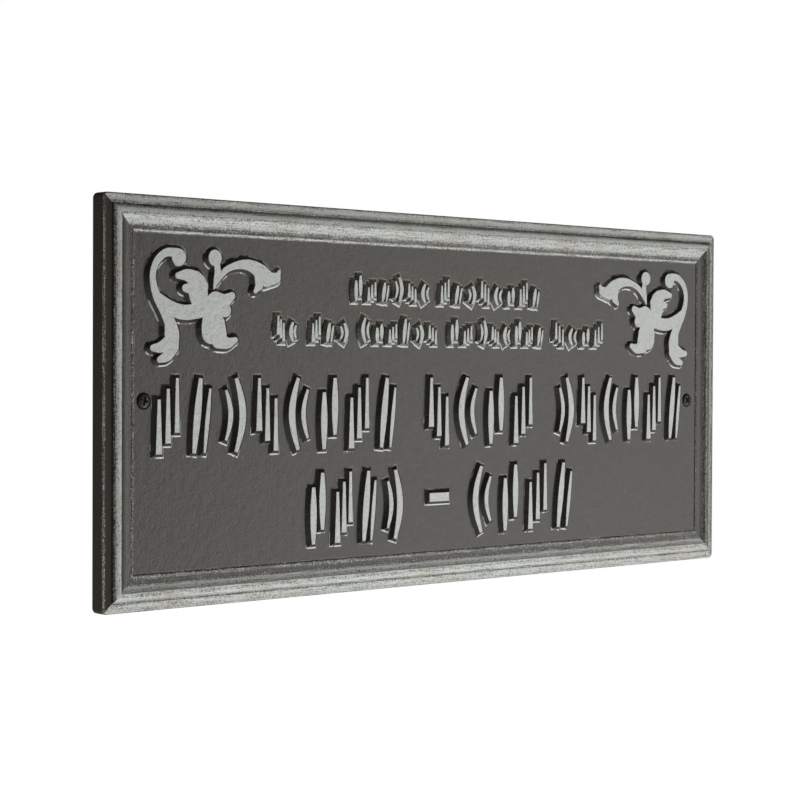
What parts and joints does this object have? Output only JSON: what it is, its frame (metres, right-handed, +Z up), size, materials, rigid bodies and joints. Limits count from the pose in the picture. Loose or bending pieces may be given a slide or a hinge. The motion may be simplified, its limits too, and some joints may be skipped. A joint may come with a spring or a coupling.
{
  "type": "wall plaque",
  "caption": "Cast metal wall plaque with a moulded border, raised corner scrolls and rows of raised abstract strokes, held by countersunk screws.",
  "frame": {"origin": "centre of the flat back face, where the plaque meets the wall", "axes": "+X to the viewer's right along the long side, +Y into the wall, +Z up"},
  "size_m": [0.432, 0.0104, 0.19],
  "materials": {
    "cast_metal": "dark painted casting with worn silver on the raised work and border",
    "screw_metal": "blackened, semi-gloss"
  },
  "bodies": {
    "root": {"plaque": "cast_metal", "screw_left": "screw_metal", "screw_right": "screw_metal"}
  },
  "joints": []
}
